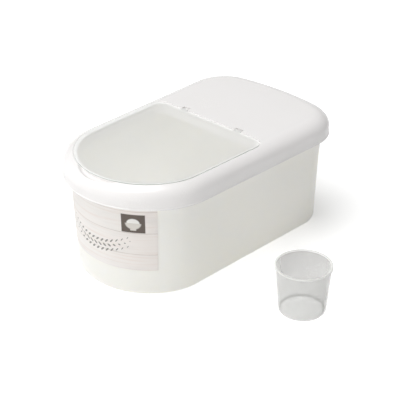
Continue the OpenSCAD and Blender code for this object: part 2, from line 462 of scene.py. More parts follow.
def block(name: str, low: Sequence[float], high: Sequence[float], edge: float) -> Piece:
    """A box with rounded upright edges, used to add to or cut from another piece.

    Args:
        name: Name of the object.
        low: Lowest corner.
        high: Highest corner.
        edge: Radius of its four upright edges.

    Returns:
        The box.
    """
    spots = [(high[0] - edge, high[1] - edge, 0), (low[0] + edge, high[1] - edge, 1),
             (low[0] + edge, low[1] + edge, 2), (high[0] - edge, low[1] + edge, 3)]
    ring: list[Point] = []
    for x, y, k in spots:
        ring += arc((x, y), edge, k * QUARTER_TURN, (k + 1) * QUARTER_TURN, BLOCK_STEPS)
    return closed_loft(name, [lifted(ring, low[2]), lifted(ring, high[2])])


def rod(name: str, middle: Vector, radius: float, length: float, edge: float) -> Piece:
    """A rod along X with rounded ends.

    Args:
        name: Name of the object.
        middle: Its middle.
        radius: Its radius.
        length: Its length.
        edge: Radius of the edges at its ends.

    Returns:
        The rod.
    """
    half = length / 2
    line = rounded([(-half, 0.0, 0), (-half, radius, edge), (half, radius, edge),
                    (half, 0.0, 0)], 3)
    turns = [i * math.tau / ROD_SIDES for i in range(ROD_SIDES)]
    return closed_loft(name, [[middle + Vector((x, r * math.cos(a), r * math.sin(a)))
                               for a in turns] for x, r in line[1:-1]])


class Cut(Enum):
    """How one mesh is worked into another."""

    ADD = "UNION"
    REMOVE = "DIFFERENCE"


def work_in(piece: Piece, tool: Piece, cut: Cut) -> None:
    """Adds a tool's volume to a piece or cuts it away, and removes the tool.

    Args:
        piece: The piece that changes.
        tool: The mesh that is worked in.
        cut: Whether it is added or removed.
    """
    step = piece.modifiers.new("work", "BOOLEAN")
    step.object = tool
    step.operation = cut.value
    step.solver = "EXACT"
    apply_modifiers(piece)
    bpy.data.objects.remove(tool)


def apply_modifiers(piece: Piece) -> None:
    """Replaces a piece's mesh by what its modifiers make of it.

    Args:
        piece: The piece.
    """
    graph = bpy.context.evaluated_depsgraph_get()
    made = bpy.data.meshes.new_from_object(piece.evaluated_get(graph))
    made.name = piece.name
    piece.modifiers.clear()
    piece.data = made


def shade(piece: Piece, sharp: float = math.radians(48)) -> None:
    """Shades a piece smooth, with creases kept and flat faces truly flat.

    Args:
        piece: The piece.
        sharp: Edges that turn by more than this stay sharp.
    """
    piece.data.shade_smooth()
    piece.data.set_sharp_from_angle(angle=sharp)
    weighted = piece.modifiers.new("weighted", "WEIGHTED_NORMAL")
    weighted.mode = "FACE_AREA_WITH_ANGLE"
    weighted.keep_sharp = True
    apply_modifiers(piece)


# ---- Node helpers ----


class Graph:
    """A node tree that is being wired."""

    def __init__(self, tree: bpy.types.NodeTree) -> None:
        """Starts on a tree, which is emptied first."""
        self.tree = tree
        tree.nodes.clear()

    def add(self, kind: str, **values: object) -> bpy.types.Node:
        """Adds a node.

        Args:
            kind: The node's type, without its ShaderNode prefix where it has one.
            **values: Properties of the node, or values for its inputs, with _ for a space.

        Returns:
            The node.
        """
        prefix = "" if kind.startswith("Node") else "ShaderNode"
        node = self.tree.nodes.new(prefix + kind)
        for name, value in values.items():
            if hasattr(node, name):
                setattr(node, name, value)
            else:
                node.inputs[name.replace("_", " ")].default_value = value
        return node

    def join(self, source: Socket, target: Socket) -> None:
        """Links an output to an input."""
        self.tree.links.new(source, target)

    def feed(self, sockets: Iterable[Socket], terms: Iterable[object]) -> None:
        """Gives inputs their terms.

        Args:
            sockets: The inputs.
            terms: For each one a socket to link or a value to set.
        """
        for socket, term in zip(sockets, terms):
            if isinstance(term, Socket):
                self.join(term, socket)
            else:
                socket.default_value = term

    def math(self, operation: str, *terms: object) -> Socket:
        """Adds a Math node.

        Args:
            operation: Its operation.
            *terms: Its inputs, as sockets or numbers.

        Returns:
            Its result.
        """
        node = self.add("Math", operation=operation)
        self.feed(node.inputs, terms)
        return node.outputs[0]

    def vector(self, operation: str, *terms: object) -> bpy.types.Node:
        """Adds a Vector Math node.

        Args:
            operation: Its operation.
            *terms: Its inputs, as sockets or vectors.

        Returns:
            The node, whose result is a vector or a value.
        """
        node = self.add("VectorMath", operation=operation)
        self.feed(node.inputs, terms)
        return node

    def xyz(self, vector: Socket) -> list[Socket]:
        """Takes a vector apart.

        Args:
            vector: The vector.

        Returns:
            Its three parts.
        """
        node = self.add("SeparateXYZ")
        self.join(vector, node.inputs[0])
        return list(node.outputs)

    def blend(self, share: object, a: object, b: object) -> Socket:
        """Mixes two colours.

        Args:
            share: How much of b, as a socket or a number.
            a: First colour, as a socket or a value.
            b: Second colour, as a socket or a value.

        Returns:
            The mixed colour.
        """
        # The node's first input is the share, and its colours come after numbers and vectors
        node = self.add("Mix", data_type="RGBA")
        self.feed((node.inputs[0], node.inputs[6], node.inputs[7]), (share, a, b))
        return node.outputs[2]

    def spread(self, value: Socket, low: float, high: float, to_low: float = 0.0,
               to_high: float = 1.0) -> Socket:
        """Maps a value from one range onto another one, smoothly and without leaving it.

        Args:
            value: The value.
            low: Start of its range.
            high: End of its range.
            to_low: What the start becomes.
            to_high: What the end becomes.

        Returns:
            The mapped value.
        """
        node = self.add("MapRange", interpolation_type="SMOOTHSTEP", From_Min=low, From_Max=high,
                        To_Min=to_low, To_Max=to_high)
        self.join(value, node.inputs["Value"])
        return node.outputs[0]

    def end(self, shader: bpy.types.Node, kind: str = "OutputMaterial") -> None:
        """Adds the output node and links the shader to it."""
        self.join(shader.outputs[0], self.add(kind).inputs["Surface"])


def oval(graph: Graph, across: Socket, up: Socket, middle: Point,
         radii: Point, soft: float = 0.12) -> Socket:
    """A mask of an oval.

    Args:
        graph: The tree that it is drawn in.
        across: Place across the print.
        up: Place up the print.
        middle: The oval's middle.
        radii: Its two radii.
        soft: How far its edge fades, as a share of the radii.

    Returns:
        The mask, 1 inside the oval.
    """
    u = graph.math("DIVIDE", graph.math("SUBTRACT", across, middle[0]), radii[0])
    v = graph.math("DIVIDE", graph.math("SUBTRACT", up, middle[1]), radii[1])
    reach = graph.math("SQRT", graph.math("MULTIPLY_ADD", u, u, graph.math("MULTIPLY", v, v)))
    return graph.spread(reach, 1 - soft, 1 + soft, 1.0, 0.0)


def oblong(graph: Graph, across: Socket, up: Socket, middle: Point,
           half: Point, soft: float) -> Socket:
    """A mask of an oblong.

    Args:
        graph: The tree that it is drawn in.
        across: Place across the print.
        up: Place up the print.
        middle: The oblong's middle.
        half: Half its width and half its height.
        soft: How far its edge fades.

    Returns:
        The mask, 1 inside the oblong.
    """
    sides = []
    for place, centre, reach in ((across, middle[0], half[0]), (up, middle[1], half[1])):
        off = graph.math("ABSOLUTE", graph.math("SUBTRACT", place, centre))
        sides.append(graph.spread(off, reach - soft, reach + soft, 1.0, 0.0))
    return graph.math("MULTIPLY", *sides)


def new_group(name: str, inputs: dict[str, tuple[str, object]], outputs: dict[str, str]) -> Graph:
    """Starts a shader node group.

    Args:
        name: Name of the group.
        inputs: Socket kind and default value of each input.
        outputs: Socket kind of each output.

    Returns:
        The group's tree, with its Group Input and Group Output nodes.
    """
    tree = bpy.data.node_groups.new(name, "ShaderNodeTree")
    for label, (kind, value) in inputs.items():
        socket = tree.interface.new_socket(label, in_out="INPUT", socket_type="NodeSocket" + kind)
        socket.default_value = value
    for label, kind in outputs.items():
        tree.interface.new_socket(label, in_out="OUTPUT", socket_type="NodeSocket" + kind)
    graph = Graph(tree)
    graph.add("NodeGroupInput")
    graph.add("NodeGroupOutput")
    return graph


def new_material(name: str) -> tuple[bpy.types.Material, Graph]:
    """Starts a material.

    Args:
        name: Its name.

    Returns:
        The material, and its empty tree.
    """
    material = bpy.data.materials.new(name)
    material.use_nodes = True
    return material, Graph(material.node_tree)


def moulded_group() -> bpy.types.NodeTree:
    """The skin of moulded plastic: slow clouds in its colour and gloss, and a fine grain.

    Returns:
        The group, which puts out Color, Roughness and Height.
    """
    name = "moulded skin"
    cloud_span = (0.3, 0.7)
    cloud_gloss = 0.03
    grain_height = 0.05
    if name in bpy.data.node_groups:
        return bpy.data.node_groups[name]
    graph = new_group(
        name,
        {"Color": ("Color", (0.8, 0.8, 0.8, 1)), "Cloud Color": ("Color", (0.7, 0.7, 0.7, 1)),
         "Cloud Scale": ("Float", 14.0), "Grain Scale": ("Float", 900.0),
         "Roughness": ("Float", 0.3), "Roughness Spread": ("Float", 0.06),
         "Waviness": ("Float", 0.5)},
        {"Color": "Color", "Roughness": "Float", "Height": "Float"})
    given, out = graph.tree.nodes["Group Input"].outputs, graph.tree.nodes["Group Output"].inputs
    place = graph.add("TexCoord").outputs["Object"]
    clouds = graph.add("TexNoise", Detail=3.0, Roughness=0.55)
    grain = graph.add("TexNoise", Detail=2.0, Roughness=0.6)
    waves = graph.add("TexNoise", Detail=1.0, Scale=22.0)
    for node, scale in ((clouds, "Cloud Scale"), (grain, "Grain Scale")):
        graph.join(given[scale], node.inputs["Scale"])
    for node in (clouds, grain, waves):
        graph.join(place, node.inputs["Vector"])
    cloud = graph.spread(clouds.outputs[0], *cloud_span)
    graph.join(graph.blend(cloud, given["Color"], given["Cloud Color"]), out["Color"])
    centred = graph.math("SUBTRACT", grain.outputs[0], 0.5)
    rough = graph.math("MULTIPLY_ADD", centred, given["Roughness Spread"], given["Roughness"])
    graph.join(graph.math("MULTIPLY_ADD", cloud, cloud_gloss, rough), out["Roughness"])
    wave = graph.math("MULTIPLY", waves.outputs[0], given["Waviness"])
    graph.join(graph.math("MULTIPLY_ADD", grain.outputs[0], grain_height, wave), out["Height"])
    return graph.tree


# ---- Finishes ----


class Slot(Enum):
    """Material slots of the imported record."""

    TUB = "tub_plastic"
    LID = "lid_plastic"
    FLAP = "clear_plastic"
    LABEL = "label_paper"
    CUP = "cup_plastic"


@dataclass(frozen=True)
class Plastic:
    """A moulded plastic, from opaque to clear.

    A clear one is darkened with painted shade where it is seen aslant (edge) and on the inner
    wall of a round piece (inner), and tinted on its upright edges (cut). It is paler in a band
    at its rim, where it is thicker, with a painted highlight there, and denser in the corner
    round the inside of its foot, which painted shade darkens as well. A slope is a range of the
    normal's upward part, and a turn is a range of its outward part.
    """

    name: str
    colour: Colour
    cloud: Colour
    roughness: float
    spread: float = 0.06
    waviness: float = 0.4
    grain_scale: float = 900.0
    bump: float = 0.1
    bump_height: float = 0.0006
    coat: float = 0.0
    coat_roughness: float = 0.08
    subsurface: float = 0.0
    glow_depth: float = 0.0
    glow_radius: tuple[float, float, float] = (1.0, 0.95, 0.82)
    opacity: float = 1.0
    shadow: float = 1.0
    ior: float = 1.49
    specular: float = 0.5
    # Painted shade where a clear plastic is seen aslant: its colour, share and falloff. The colour
    # also darkens the foot's corner
    edge: Colour = (0.22, 0.225, 0.21, 1)
    aslant_shade_share: float = 0.0
    aslant_shade_power: float = 5.0
    cut: Colour = (0.50, 0.55, 0.51, 1)
    cut_share: float = 0.0
    cut_slope: Point = (0.3, 0.7)
    # A paler, more opaque band at the rim, where the plastic is thicker; its paleness is partly a
    # painted highlight
    rim: Colour = (0.80, 0.80, 0.78, 1)
    rim_from: float = 1.0
    rim_fade: Point = (-0.2 * MM, 0.4 * MM)
    rim_cover: float = 0.6
    # The corner round the inside of the foot: the plastic is denser there, and painted shade in the
    # edge colour darkens it
    corner_z: float = -1.0
    corner_slope: Point = (0.05, 0.3)
    corner_rise: float = 0.6 * MM
    corner_fall: Point = (1.0 * MM, 3.2 * MM)
    axis: Point | None = None
    # Painted shade on the inner wall of a round piece, which faces its axis
    inner: Colour = (0.34, 0.335, 0.315, 1)
    inside_shade_turn: Point = (-0.4, -0.1)

    def build(self) -> bpy.types.Material:
        """Makes the material.

        Returns:
            The material.
        """
        material, graph = new_material(self.name)
        skin = graph.add("Group", node_tree=moulded_group(), Color=self.colour,
                         Cloud_Color=self.cloud, Grain_Scale=self.grain_scale,
                         Roughness=self.roughness, Roughness_Spread=self.spread,
                         Waviness=self.waviness)
        bump = graph.add("Bump", Strength=self.bump, Distance=self.bump_height)
        shader = graph.add("BsdfPrincipled", IOR=self.ior, Coat_Weight=self.coat,
                           Coat_Roughness=self.coat_roughness, Subsurface_Weight=self.subsurface,
                           Subsurface_Radius=self.glow_radius, Subsurface_Scale=self.glow_depth)
        graph.join(skin.outputs["Height"], bump.inputs["Height"])
        graph.join(skin.outputs["Color"], shader.inputs["Base Color"])
        graph.join(skin.outputs["Roughness"], shader.inputs["Roughness"])
        graph.join(bump.outputs[0], shader.inputs["Normal"])
        if self.opacity < 1:
            self._see_through(graph, shader, skin.outputs["Color"], bump.outputs[0])
        elif self.shadow < 1:
            light = graph.add("LightPath").outputs["Is Shadow Ray"]
            graph.join(graph.math("MULTIPLY_ADD", light, self.shadow - 1, 1.0),
                       shader.inputs["Alpha"])
        graph.end(shader)
        return material

    def _inside_shade(self, graph: Graph, axis: Point) -> Socket:
        """A mask of a round piece's inner wall, which faces its axis.

        Args:
            graph: The material's tree.
            axis: Where the upright axis stands.

        Returns:
            The mask of the inner wall, which painted shade darkens.
        """
        place = graph.add("TexCoord").outputs["Object"]
        off_axis = graph.vector("SUBTRACT", place, (*axis, 0.0))
        level = graph.vector("MULTIPLY", off_axis.outputs[0], (1.0, 1.0, 0.0))
        outward = graph.vector("NORMALIZE", level.outputs[0])
        faces = graph.vector("DOT_PRODUCT", outward.outputs[0],
                             graph.add("NewGeometry").outputs["Normal"])
        return graph.spread(faces.outputs["Value"], *self.inside_shade_turn, 1.0, 0.0)

    def _corner(self, graph: Graph, height: Socket) -> Socket:
        """A mask of the corner round the inside of the foot, which faces upwards.

        Args:
            graph: The material's tree.
            height: Height of the surface.

        Returns:
            The mask of the corner, where the plastic is denser and painted shade darkens it.
        """
        lift = graph.xyz(graph.add("NewGeometry").outputs["Normal"])[2]
        low, high = (self.corner_z + z for z in self.corner_fall)
        above = graph.spread(height, self.corner_z, self.corner_z + self.corner_rise)
        corner = graph.math("MULTIPLY", graph.spread(lift, *self.corner_slope), above)
        return graph.math("MULTIPLY", corner, graph.spread(height, low, high, 1.0, 0.0))

    def _see_through(self, graph: Graph, shader: bpy.types.Node, colour: Socket,
                     normal: Socket) -> None:
        """Makes the plastic clear: less so at its edges and rim, more so for the lamps.

        Each wall counts once, where a ray enters it: the face that the ray leaves by is clear.

        Args:
            graph: The material's tree.
            shader: Its shader.
            colour: The plastic's colour.
            normal: The plastic's normal.
        """
        slant = graph.add("LayerWeight", Blend=0.5)
        graph.join(normal, slant.inputs["Normal"])
        aslant = graph.math("POWER", slant.outputs["Facing"], self.aslant_shade_power)
        height = graph.xyz(graph.add("TexCoord").outputs["Object"])[2]
        rim = graph.spread(height, *(self.rim_from + z for z in self.rim_fade))
        corner = self._corner(graph, height)
        lift = graph.xyz(graph.add("TexCoord").outputs["Normal"])[2]
        upright = graph.spread(graph.math("ABSOLUTE", lift), *self.cut_slope, self.cut_share, 0.0)

        # Painted shade on the inner wall of a round piece
        if self.axis is not None:
            colour = graph.blend(self._inside_shade(graph, self.axis), colour, self.inner)
        # Painted shade where the wall is seen aslant
        colour = graph.blend(graph.math("MULTIPLY", aslant, self.aslant_shade_share), colour, self.edge)
        # Painted shade, in the edge colour, in the corner round the inside of the foot
        colour = graph.blend(corner, colour, self.edge)
        colour = graph.blend(upright, colour, self.cut)
        # A paler band at the thicker rim, partly a painted highlight
        graph.join(graph.blend(rim, colour, self.rim), shader.inputs["Base Color"])

        thick = graph.math("MAXIMUM", graph.math("MULTIPLY", rim, self.rim_cover), corner)
        thick = graph.math("MAXIMUM", thick, upright)
        seen = graph.math("MULTIPLY_ADD", thick, 1 - self.opacity, self.opacity)
        path = graph.add("LightPath")
        light = graph.math("MAXIMUM", path.outputs["Is Shadow Ray"], path.outputs["Is Diffuse Ray"])
        unlit = graph.math("MULTIPLY", seen, graph.math("SUBTRACT", 1.0, light))
        wall = graph.math("MULTIPLY_ADD", light, self.shadow, unlit)
        leaving = graph.add("NewGeometry").outputs["Backfacing"]
        graph.join(graph.math("MULTIPLY", wall, graph.math("SUBTRACT", 1.0, leaving)),
                   shader.inputs["Alpha"])
        # The wall shines as a solid one would, although its opacity weakens the shader's gloss
        level = min(1.0, self.specular / self.opacity)
        shader.inputs["Specular IOR Level"].default_value = level


@dataclass(frozen=True)
class Wood:
    """Noise in the planks: how it is stretched, moved from plank to plank, and cut to a mask.

    The stretch is given round the bin and upwards, and the move round the bin and in depth.
    """

    stretch: Point
    shift: Point
    span: Point
    detail: float
    roughness: float = 0.5

    def build(self, graph: Graph, across: Socket, up: Socket,
              plank: Socket) -> tuple[Socket, Socket]:
        """Adds the noise.

        Args:
            graph: The material's tree.
            across: Place round the bin.
            up: Place above the floor.
            plank: Number of the plank.

        Returns:
            The noise, and its mask.
        """
        spot = graph.add("CombineXYZ")
        along = graph.math("MULTIPLY", across, self.stretch[0])
        graph.join(graph.math("MULTIPLY_ADD", plank, self.shift[0], along), spot.inputs[0])
        graph.join(graph.math("MULTIPLY", up, self.stretch[1]), spot.inputs[1])
        if self.shift[1]:
            graph.join(graph.math("MULTIPLY", plank, self.shift[1]), spot.inputs[2])
        noise = graph.add("TexNoise", Scale=1.0, Detail=self.detail, Roughness=self.roughness)
        graph.join(spot.outputs[0], noise.inputs["Vector"])
        return noise.outputs[0], graph.spread(noise.outputs[0], *self.span)


@dataclass(frozen=True)
class PlankPrint:
    """The label's print: whitewashed planks with rice grains and a rice bowl, on coated paper.

    Places on the print are measured round the bin from the middle of its front, and upwards
    from the floor.
    """

    name: str = "plank print"
    roughness: float = 0.42
    coat: float = 0.25
    coat_roughness: float = 0.3
    fibre_scale: float = 1400.0
    fibre_bump: float = 0.12
    fibre_height: float = 0.0002
    streak_depth: float = -0.3
    plank_height: float = 31 * MM
    lines: Wood = Wood((11.0, 330.0), (3.7, 1.9), (0.44, 0.7), 5.0, 0.62)
    patches: Wood = Wood((22.0, 70.0), (5.3, 0.0), (0.45, 0.72), 3.0)
    pale: Colour = (0.86, 0.83, 0.80, 1)
    warm: Colour = (0.76, 0.66, 0.60, 1)
    line_share: float = 0.6
    cool: Colour = (0.74, 0.73, 0.71, 1)
    patch_share: float = 0.4
    blush_reach: Point = (0.0, 80 * MM)
    blush_share: float = 0.22
    # Painted shade that darkens the print towards its left end
    left_painted_shade: Colour = (0.62, 0.57, 0.53, 1)
    left_painted_shade_reach: Point = (-95 * MM, -20 * MM)
    left_painted_shade_share: float = 0.6
    seam: Colour = (0.52, 0.45, 0.40, 1)
    seam_width: float = 0.025
    seam_wear: tuple[float, float, float, float] = (0.35, 0.6, 0.2, 0.8)
    ink: Colour = (0.13, 0.12, 0.11, 1)
    ink_share: float = 0.85
    grains_middle: Point = (2 * MM, 66 * MM)
    grains_reach: float = 52 * MM
    grains_bow: float = 5.5
    grain_rows: int = 3
    grain_pitch: Point = (7.4 * MM, 6.6 * MM)
    grain_size: Point = (3.1 * MM, 1.25 * MM)
    grain_turn: float = math.radians(40)
    grain_soft: float = 0.16
    grain_fade: Point = (0.3, 0.45)
    row_fade: float = 0.1 * MM
    end_fade: float = 0.5 * MM
    board: Colour = (0.10, 0.075, 0.06, 1)
    board_middle: Point = (58 * MM, 107 * MM)
    board_half: Point = (15 * MM, 13 * MM)
    board_soft: float = 0.25 * MM
    bowl: Colour = (0.70, 0.67, 0.62, 1)
    bowl_lift: float = 0.5 * MM
    bowl_radii: Point = (10 * MM, 8.6 * MM)
    foot_half: Point = (3.8 * MM, 1.2 * MM)
    bowl_soft: float = 0.2 * MM
    rice: Colour = (0.86, 0.85, 0.82, 1)
    rice_radii: Point = (8.2 * MM, 6.5 * MM)

    def planks(self, graph: Graph, across: Socket, up: Socket) -> tuple[Socket, Socket]:
        """Colour of the planks.

        Args:
            graph: The material's tree.
            across: Place round the bin.
            up: Place above the floor.

        Returns:
            The colour, and a mask of the wood's streaks.
        """
        row = graph.math("DIVIDE", up, self.plank_height)
        plank = graph.math("FLOOR", row)
        within = graph.math("FRACT", row)
        _, streaks = self.lines.build(graph, across, up, plank)
        broad, patches = self.patches.build(graph, across, up, plank)
        colour = graph.blend(graph.math("MULTIPLY", streaks, self.line_share), self.pale, self.warm)
        colour = graph.blend(graph.math("MULTIPLY", patches, self.patch_share), colour, self.cool)

        # The print is warmer towards its right end, and painted shade darkens it towards its left
        # one
        blush = graph.spread(across, *self.blush_reach, 0.0, self.blush_share)
        colour = graph.blend(blush, colour, self.warm)
        left_painted_shade = graph.spread(across, *self.left_painted_shade_reach, self.left_painted_shade_share, 0.0)
        colour = graph.blend(left_painted_shade, colour, self.left_painted_shade)

        # A thin seam between planks, worn away here and there
        to_edge = graph.math("MINIMUM", within, graph.math("SUBTRACT", 1.0, within))
        seam = graph.spread(to_edge, 0.0, self.seam_width, 1.0, 0.0)
        worn = graph.math("MULTIPLY", seam, graph.spread(broad, *self.seam_wear))
        return graph.blend(worn, colour, self.seam), streaks

    def grains(self, graph: Graph, across: Socket, up: Socket) -> Socket:
        """Mask of a bowed band of rice grains, in rows that lean to and fro.

        Args:
            graph: The material's tree.
            across: Place round the bin.
            up: Place above the floor.

        Returns:
            The mask.
        """
        def off_middle(cells: Socket, pitch: float) -> Socket:
            """Distance from the middle of the cell, for a place counted in cells."""
            return graph.math("MULTIPLY", graph.math("SUBTRACT", graph.math("FRACT", cells), 0.5),
                              pitch)

        # The band rises towards its ends, and its grains get smaller there
        along = graph.math("SUBTRACT", across, self.grains_middle[0])
        bow = graph.math("MULTIPLY", graph.math("MULTIPLY", along, along), self.grains_bow)
        off = graph.math("SUBTRACT", graph.math("SUBTRACT", up, self.grains_middle[1]), bow)
        far = graph.math("ABSOLUTE", along)
        size = graph.spread(far, self.grain_fade[0] * self.grains_reach, self.grains_reach, 1.0,
                            self.grain_fade[1])

        # Every other row is moved by half a grain and leans the other way
        row = graph.math("MULTIPLY_ADD", off, 1 / self.grain_pitch[1], self.grain_rows / 2)
        odd = graph.math("MODULO", graph.math("FLOOR", row), 2.0)
        place = graph.math("MULTIPLY_ADD", along, 1 / self.grain_pitch[0],
                           graph.math("MULTIPLY", odd, 0.5))
        x = graph.math("MULTIPLY", off_middle(place, self.grain_pitch[0]),
                       graph.math("MULTIPLY_ADD", odd, -2.0, 1.0))
        y = off_middle(row, self.grain_pitch[1])
        cos, sin = math.cos(self.grain_turn), math.sin(self.grain_turn)
        turned = (graph.math("ADD", graph.math("MULTIPLY", x, cos), graph.math("MULTIPLY", y, sin)),
                  graph.math("SUBTRACT", graph.math("MULTIPLY", y, cos),
                             graph.math("MULTIPLY", x, sin)))
        grain = oval(graph, *(graph.math("DIVIDE", part, size) for part in turned), (0.0, 0.0),
                     self.grain_size, self.grain_soft)

        half = self.grain_rows * self.grain_pitch[1] / 2
        rows = graph.spread(graph.math("ABSOLUTE", off), half - self.row_fade, half, 1.0, 0.0)
        reach = graph.spread(far, self.grains_reach - self.end_fade, self.grains_reach, 1.0, 0.0)
        return graph.math("MULTIPLY", grain, graph.math("MULTIPLY", rows, reach))

    def bowl_board(self, graph: Graph, across: Socket, up: Socket, colour: Socket) -> Socket:
        """Lays a dark board with a bowl of rice over the planks.

        Args:
            graph: The material's tree.
            across: Place round the bin.
            up: Place above the floor.
            colour: Colour of the planks.

        Returns:
            The colour with the board on it.
        """
        x, y = self.board_middle
        rim = y + self.bowl_lift
        above = graph.spread(up, rim - self.bowl_soft, rim + self.bowl_soft)
        below = graph.math("SUBTRACT", 1.0, above)
        board = oblong(graph, across, up, self.board_middle, self.board_half, self.board_soft)
        heap = graph.math("MULTIPLY", above, oval(graph, across, up, (x, rim), self.rice_radii))
        cup = graph.math("MULTIPLY", below, oval(graph, across, up, (x, rim), self.bowl_radii))
        foot = oblong(graph, across, up, (x, y - self.bowl_radii[1]), self.foot_half,
                      self.bowl_soft)
        colour = graph.blend(heap, graph.blend(board, colour, self.board), self.rice)
        return graph.blend(graph.math("MAXIMUM", cup, foot), colour, self.bowl)

    def build(self) -> bpy.types.Material:
        """Makes the material.

        Returns:
            The material.
        """
        material, graph = new_material(self.name)
        across, up, _ = graph.xyz(graph.add("UVMap", uv_map=PRINT_MAP).outputs[0])
        colour, streaks = self.planks(graph, across, up)
        inked = graph.math("MULTIPLY", self.grains(graph, across, up), self.ink_share)
        colour = self.bowl_board(graph, across, up, graph.blend(inked, colour, self.ink))

        fibre = graph.add("TexNoise", Scale=self.fibre_scale, Detail=2.0)
        bump = graph.add("Bump", Strength=self.fibre_bump, Distance=self.fibre_height)
        shader = graph.add("BsdfPrincipled", Roughness=self.roughness, Coat_Weight=self.coat,
                           Coat_Roughness=self.coat_roughness)
        height = graph.math("MULTIPLY_ADD", streaks, self.streak_depth, fibre.outputs[0])
        graph.join(height, bump.inputs["Height"])
        graph.join(colour, shader.inputs["Base Color"])
        graph.join(bump.outputs[0], shader.inputs["Normal"])
        graph.end(shader)
        return material


TUB_PLASTIC = Plastic("tub plastic", (0.96, 0.935, 0.86, 1), (0.95, 0.93, 0.85, 1), 0.34,
                      subsurface=0.8, glow_depth=0.006, shadow=0.2, bump=0.12)
LID_PLASTIC = Plastic("lid plastic", (0.89, 0.872, 0.865, 1), (0.88, 0.862, 0.85, 1), 0.24,
                      coat=0.25, shadow=0.45, bump=0.06)
# The flap is darkened with painted shade where it is seen aslant
FLAP_PLASTIC = Plastic("clear plastic", (0.98, 0.99, 0.975, 1), (0.97, 0.98, 0.965, 1), 0.08,
                       spread=0.02, opacity=0.55, shadow=0.06, bump=0.03, aslant_shade_share=0.7,
                       cut_share=0.8)
# The cup's rim band is partly a painted highlight, and its foot corner and inner wall carry painted
# shade
CUP_PLASTIC = Plastic("cup plastic", (0.69, 0.69, 0.672, 1), (0.67, 0.67, 0.652, 1), 0.24,
                      opacity=0.58, shadow=0.25, bump=0.08, rim_from=64.4 * MM,
                      corner_z=1.6 * MM)


# ---- The pieces ----


def dress(piece: Piece, finish: bpy.types.Material, body: str,
          node: str) -> None:
    """Gives a piece its finish, its body and the solid that it stands for.

    Args:
        piece: The piece.
        finish: Its material.
        body: The body that it rides on.
        node: The solid that it replaces.
    """
    piece.data.materials.clear()
    piece.data.materials.append(finish)
    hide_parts(node)
    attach(piece, body)
    LOG.info("%s: %d faces, rides on %s", piece.name, len(piece.data.polygons), body)


@dataclass
class Tub:
    """The deep tub with its rounded foot and its turned-down rim."""

    outline: BinOutline
    rim_z: float
    wall: float = 2 * MM
    floor: float = 2.5 * MM
    foot_inset: float = 15.9 * MM
    neck_inset: float = 10.2 * MM
    foot_r: float = 7 * MM
    rim_inset: float = 4.2 * MM
    rim_wall: float = 1.5 * MM
    rim_turndown: float = 7 * MM
    rim_edge: float = 1.6 * MM
    lip_edge: float = 1.2 * MM
    hem_edge: float = 0.6 * MM
    hem_corner: float = 0.4 * MM
    support: float = 12 * MM
    corner_steps: int = 6
    steps: Steps = Steps()

    def wall_inset(self, z: float) -> float:
        """Inset of the wall's outer face at a height."""
        return mix(self.foot_inset, self.neck_inset, z / self.rim_z)

    def section(self) -> list[Point]:
        """The section from under the foot, up outside, over the rim and down to the floor.

        Returns:
            Its points, as (inset, height).
        """
        inner = [(self.wall_inset(z) + self.wall, z) for z in (self.rim_z, self.floor)]
        shelf = self.rim_z - self.wall
        hem = self.rim_z - self.rim_turndown
        return rounded([
            (self.foot_inset + self.support, 0.0, 0), (self.foot_inset, 0.0, self.foot_r),
            (self.wall_inset(shelf), shelf, self.hem_edge),
            (self.rim_inset + self.rim_wall, shelf, self.hem_corner),
            (self.rim_inset + self.rim_wall, hem, self.hem_edge),
            (self.rim_inset, hem, self.hem_edge),
            (self.rim_inset, self.rim_z, self.rim_edge),
            (inner[0][0], self.rim_z, self.lip_edge),
            (inner[1][0], self.floor, self.foot_r - self.wall),
            (inner[1][0] + self.support, self.floor, 0)], self.corner_steps)

    def build(self) -> Piece:
        """Makes the tub.

        Returns:
            The tub.
        """
        rings = [lifted(self.outline.ring(inset, self.steps), z) for inset, z in self.section()]
        piece = closed_loft("tub", rings)
        shade(piece)
        dress(piece, TUB_PLASTIC.build(), "tub", "bin_body")
        return piece


@dataclass(frozen=True)
class Station:
    """A ring of the lid's opening: its D and its height.

    The notch is how far its face lies below the upper one, or None where the finger notch
    doesn't lower it.
    """

    form: DForm
    z: float | Height
    notch: float | None = None


